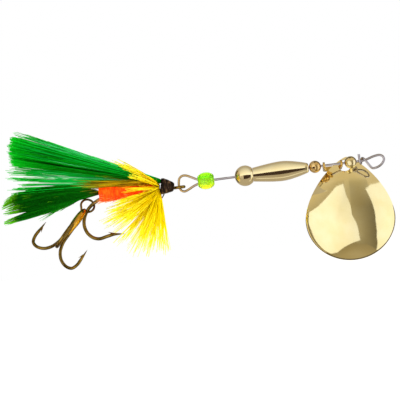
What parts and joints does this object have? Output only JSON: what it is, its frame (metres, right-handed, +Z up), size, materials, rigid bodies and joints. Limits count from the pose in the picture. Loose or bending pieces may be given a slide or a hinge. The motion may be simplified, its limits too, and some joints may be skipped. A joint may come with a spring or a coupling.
{
  "type": "inline spinner",
  "caption": "Fishing spinner: wire shaft with beads, a brass spindle body and a spinning spoon blade, towing a hair-winged fly and a trailing treble hook.",
  "frame": {"origin": "on the axis of the wire shaft, inside the line-tie eye, where the line or snap pulls", "axes": "+X along the shaft towards the line, +Z up with the spinner level and its blade hanging, +Y away from the blade's convex face"},
  "size_m": [0.0819, 0.0242, 0.0367],
  "materials": {
    "stainless_wire": "bright drawn wire",
    "polished_brass": "polished",
    "warm_brass": "polished, slightly darkened",
    "gold_plate": "mirror-polished gold plating",
    "chartreuse_bead": "glossy, translucent",
    "bronzed_hook": "bronzed wire",
    "brass_braze": "brazed joint",
    "black_thread": "varnished tying thread",
    "orange_floss": "wound floss",
    "yellow_hackle": "dyed feather fibres",
    "green_hair": "dyed hair",
    "dark_green_feather": "dyed feather"
  },
  "bodies": {
    "wire": {"shaft_wire": "stainless_wire"},
    "front_bead": {"front_bead": "polished_brass"},
    "clevis": {"clevis": "polished_brass"},
    "blade": {"blade": "gold_plate"},
    "rear_bead": {"rear_bead": "warm_brass"},
    "spindle": {"body_weight": "polished_brass"},
    "ball": {"rear_ball": "polished_brass"},
    "lock_bead": {"lock_bead": "chartreuse_bead"},
    "fly": {"fly_hook": "bronzed_hook", "thread_base": "black_thread", "thread_head": "black_thread", "thread_tag": "black_thread", "floss_body": "orange_floss", "hackle_stem": "yellow_hackle", "hackle_fibres": "yellow_hackle", "wing_hair": "green_hair", "tail_feather_near": "dark_green_feather", "tail_feather_far": "dark_green_feather"},
    "treble": {"treble_pair": "bronzed_hook", "treble_third": "bronzed_hook", "treble_braze": "brass_braze"}
  },
  "joints": [
    {"name": "front_bead_spin", "type": "hinge", "parent": "wire", "child": "front_bead", "pos_m": [-0.0055, 0, 0], "axis": [1, 0, 0], "continuous": true},
    {"name": "clevis_spin", "type": "hinge", "parent": "wire", "child": "clevis", "pos_m": [-0.0093, 0, 0], "axis": [1, 0, 0], "continuous": true},
    {"name": "blade_swing", "type": "hinge", "parent": "clevis", "child": "blade", "pos_m": [-0.00745, 0.0016, -0.00043], "axis": [0, 0.9659, -0.2588], "range_deg": [-24, 5]},
    {"name": "stack_slide", "type": "slide", "parent": "wire", "child": "rear_bead", "axis": [1, 0, 0], "range_m": [-0.0042, 0]},
    {"name": "spindle_spin", "type": "hinge", "parent": "rear_bead", "child": "spindle", "pos_m": [-0.02036, 0, 0], "axis": [1, 0, 0], "continuous": true},
    {"name": "ball_spin", "type": "hinge", "parent": "rear_bead", "child": "ball", "pos_m": [-0.02795, 0, 0], "axis": [1, 0, 0], "continuous": true},
    {"name": "lock_bead_slide", "type": "slide", "parent": "wire", "child": "lock_bead", "axis": [1, 0, 0], "range_m": [0, 0.0042]},
    {"name": "fly_swing", "type": "hinge", "parent": "wire", "child": "fly", "pos_m": [-0.04205, 0, -0.00065], "axis": [0, 0, 1], "range_deg": [-60, 60]},
    {"name": "treble_swing", "type": "hinge", "parent": "fly", "child": "treble", "pos_m": [-0.0613, 0, -0.00242], "axis": [-0.69, 0, -0.7238], "range_deg": [-50, 35]}
  ]
}
